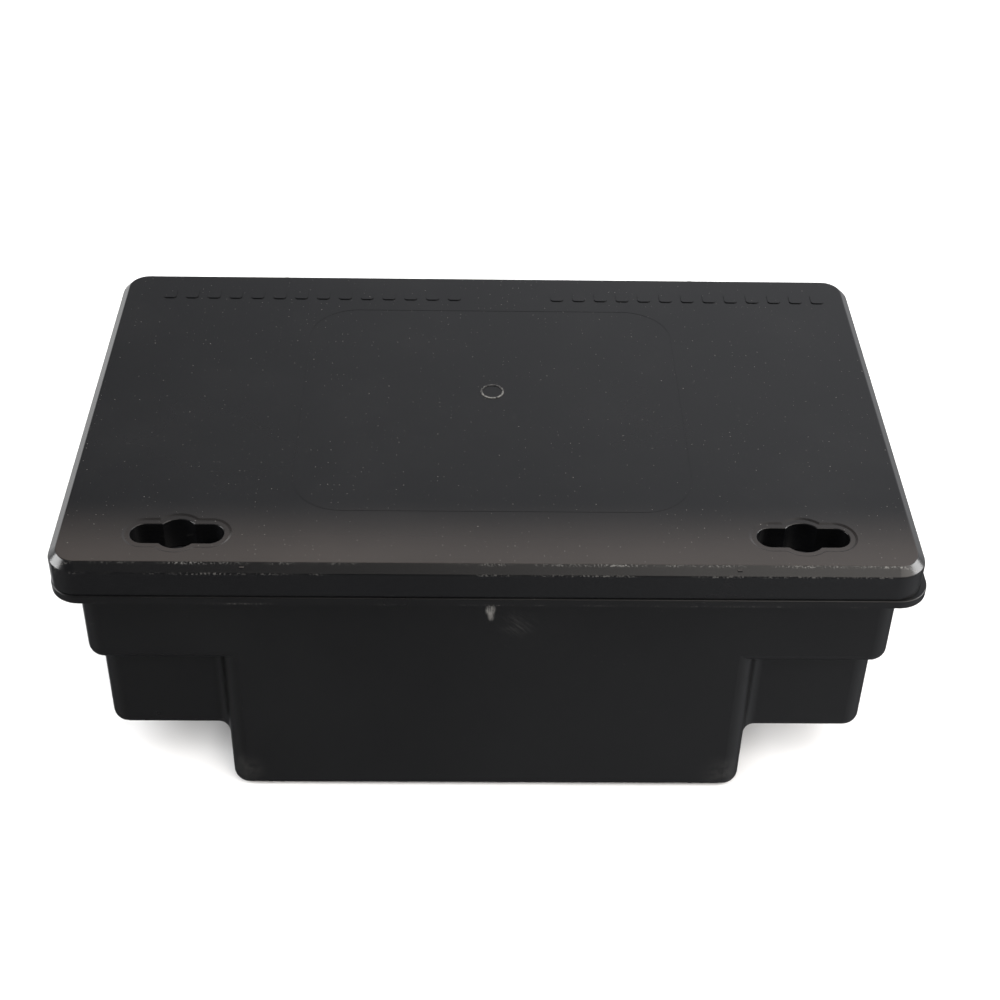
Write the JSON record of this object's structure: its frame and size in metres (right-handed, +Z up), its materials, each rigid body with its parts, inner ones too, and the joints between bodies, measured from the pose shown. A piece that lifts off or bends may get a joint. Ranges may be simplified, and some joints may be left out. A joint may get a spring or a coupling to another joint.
{
  "type": "rodent bait station",
  "caption": "Black moulded rodent bait station: stepped tub with end entrances and a hinged lid locked by two key-operated sliding latches.",
  "frame": {"origin": "on the ground, at the middle of the tub's underside", "axes": "+X to the station's right along its long side, +Y to the hinge at the back, +Z up"},
  "size_m": [0.3246, 0.2058, 0.1303],
  "materials": {
    "tub_plastic": "moulded polypropylene, satin",
    "lid_plastic": "moulded polypropylene, satin",
    "tray_plastic": "moulded polypropylene, satin",
    "baffle_plastic": "moulded polypropylene, satin",
    "latch_plastic": "moulded acetal, satin",
    "pin_steel": "drawn stainless wire",
    "rod_steel": "drawn stainless rod",
    "screw_steel": "zinc plated",
    "leaf_steel": "spring steel",
    "bait_wax": "pressed wax and grain",
    "card_sheet": "uncoated card"
  },
  "bodies": {
    "tub": {"base": "tub_plastic", "left_hinge_pin": "pin_steel", "right_hinge_pin": "pin_steel", "bait_tray": "tray_plastic", "front_bait_rod": "rod_steel", "rear_bait_rod": "rod_steel", "front_bait_blocks": "bait_wax", "rear_bait_blocks": "bait_wax", "left_baffle": "baffle_plastic", "right_baffle": "baffle_plastic"},
    "lid_assembly": {"lid": "lid_plastic", "latch_screws": "screw_steel", "left_latch_spring": "leaf_steel", "right_latch_spring": "leaf_steel", "left_latch_plate": "latch_plastic", "right_latch_plate": "latch_plastic", "service_card": "card_sheet"},
    "left_latch_body": {"left_latch": "latch_plastic"},
    "right_latch_body": {"right_latch": "latch_plastic"}
  },
  "joints": [
    {"name": "lid_hinge", "type": "hinge", "parent": "tub", "child": "lid_assembly", "pos_m": [0, 0.104, 0.117], "axis": [-1, 0, 0], "range_deg": [0, 105]},
    {"name": "left_latch_slide", "type": "slide", "parent": "lid_assembly", "child": "left_latch_body", "axis": [1, 0, 0], "range_m": [0, 0.006]},
    {"name": "right_latch_slide", "type": "slide", "parent": "lid_assembly", "child": "right_latch_body", "axis": [-1, 0, 0], "range_m": [0, 0.006]}
  ]
}
